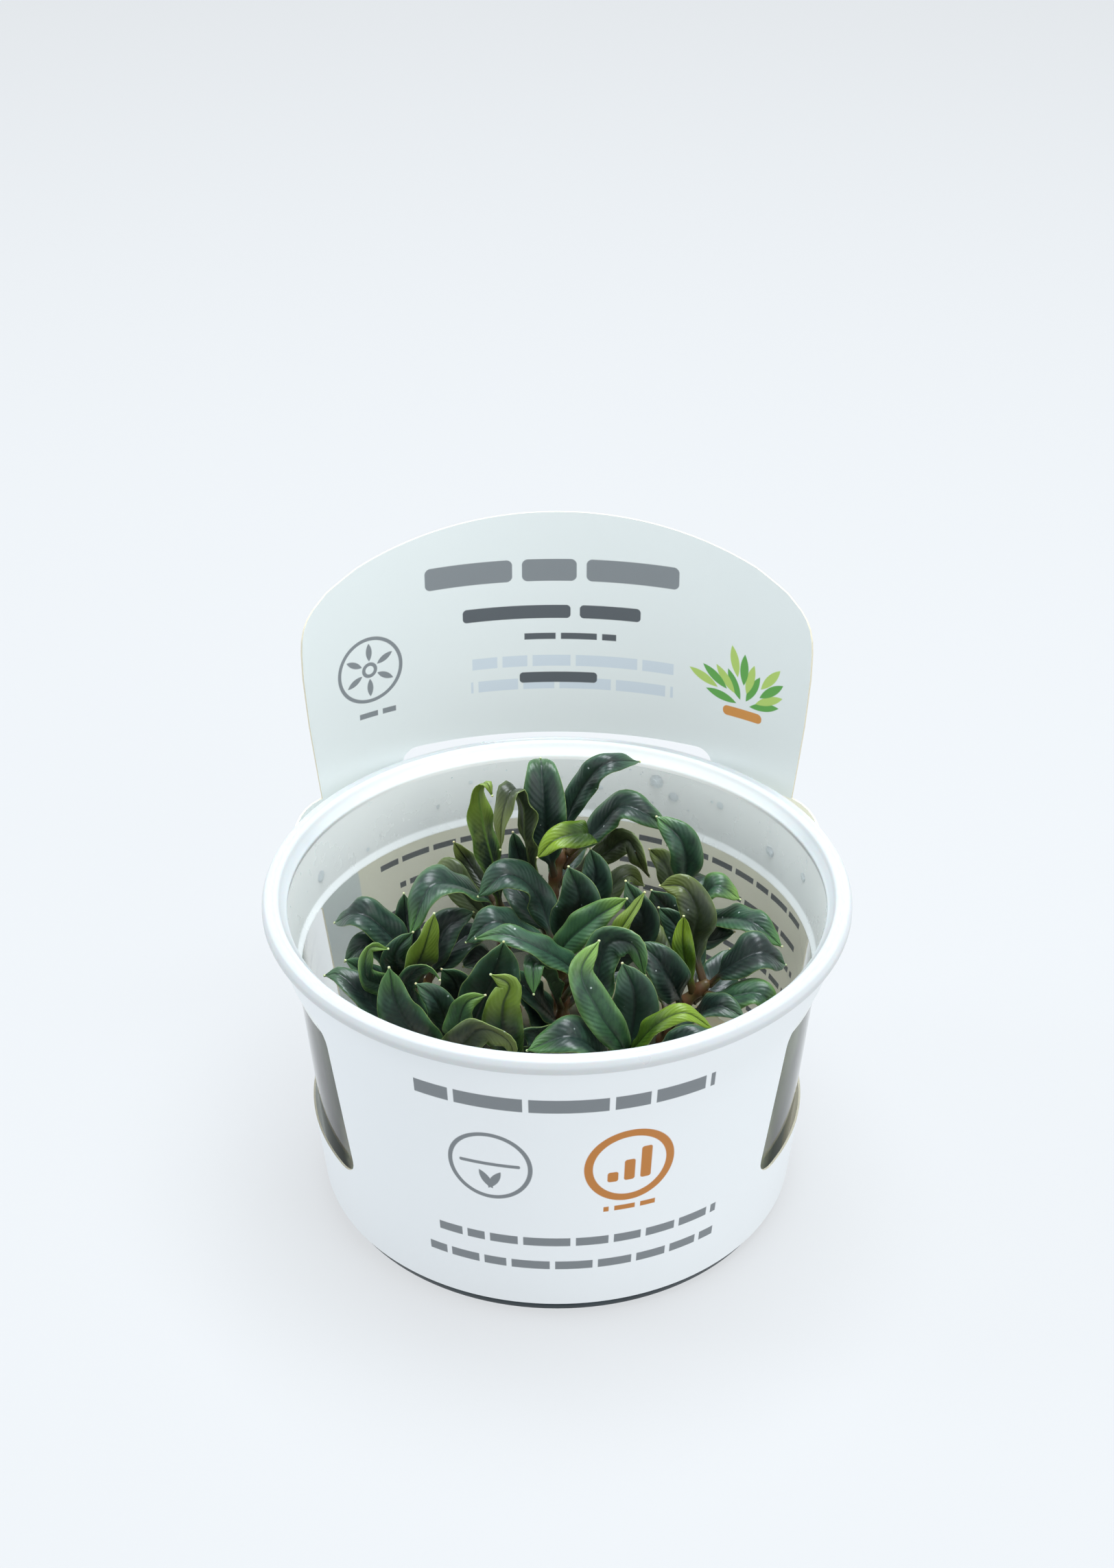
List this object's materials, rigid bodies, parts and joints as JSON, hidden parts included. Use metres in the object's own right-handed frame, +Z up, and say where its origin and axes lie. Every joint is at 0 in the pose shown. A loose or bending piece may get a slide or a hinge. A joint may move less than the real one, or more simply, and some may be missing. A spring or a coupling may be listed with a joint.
{
  "type": "tissue culture needle leaf bucephalandra",
  "caption": "Small leafy aquarium plant growing on nutrient gel in a clear round culture cup, wrapped in a paper label whose back stands up as a rounded tab.",
  "frame": {"origin": "middle of the cup's base, on the surface it stands on", "axes": "+Z up, -Y to the front of the cup, +Y to the raised tab at the back, +X to the right seen from the front"},
  "size_m": [0.1004, 0.101, 0.1069],
  "materials": {
    "cup_plastic": "clear moulded polypropylene, milky at the thick rim",
    "label_card": "coated white label sheet, satin outside and beige inside",
    "nutrient_gel": "cloudy pale beige gel, wet surface",
    "stem": "smooth fleshy reddish brown plant stem with low leaves",
    "leaf_dark": "waxy wet leaf, very dark blue green",
    "leaf_mid": "waxy wet leaf, dark green",
    "leaf_light": "waxy wet leaf, fresh green",
    "leaf_olive": "waxy leaf seen from its olive underside",
    "leaf_young": "thin young leaf, bright yellow green"
  },
  "bodies": {
    "root": {"cup": "cup_plastic", "label": "label_card", "gel": "nutrient_gel", "stem_back": "stem", "leaf_back_1": "leaf_mid", "leaf_back_2": "leaf_dark", "leaf_back_3": "leaf_mid", "leaf_back_4": "leaf_olive", "leaf_back_5": "leaf_young", "leaf_back_6": "leaf_olive", "leaf_back_7": "leaf_dark", "leaf_back_8": "leaf_dark", "stem_back_left": "stem", "leaf_back_left_1": "leaf_young", "leaf_back_left_2": "leaf_olive", "leaf_back_left_3": "leaf_mid", "leaf_back_left_4": "leaf_dark", "stem_left": "stem", "leaf_left_1": "leaf_dark", "leaf_left_2": "leaf_young", "leaf_left_3": "leaf_dark", "leaf_left_4": "leaf_light", "leaf_left_5": "leaf_dark", "stem_front_left": "stem", "leaf_front_left_1": "leaf_mid", "leaf_front_left_2": "leaf_dark", "leaf_front_left_3": "leaf_dark", "leaf_front_left_4": "leaf_light", "leaf_front_left_5": "leaf_olive", "stem_front": "stem", "leaf_front_1": "leaf_young", "stem_front_right": "stem", "leaf_front_right_1": "leaf_dark", "leaf_front_right_2": "leaf_light", "leaf_front_right_3": "leaf_young", "leaf_front_right_4": "leaf_dark", "leaf_front_right_5": "leaf_mid", "leaf_front_right_6": "leaf_mid", "stem_centre": "stem", "leaf_centre_1": "leaf_dark", "leaf_centre_2": "leaf_light", "leaf_centre_3": "leaf_young", "leaf_centre_4": "leaf_dark", "leaf_centre_5": "leaf_dark", "leaf_centre_6": "leaf_mid", "leaf_centre_7": "leaf_mid", "leaf_centre_8": "leaf_dark", "stem_right": "stem", "leaf_right_1": "leaf_olive", "leaf_right_2": "leaf_dark", "leaf_right_3": "leaf_light", "leaf_right_4": "leaf_dark", "leaf_right_5": "leaf_dark", "leaf_right_6": "leaf_olive", "leaf_right_7": "leaf_dark", "stem_back_right": "stem", "leaf_back_right_1": "leaf_mid", "leaf_back_right_2": "leaf_light", "leaf_back_right_3": "leaf_mid", "leaf_back_right_4": "leaf_dark"}
  },
  "joints": []
}
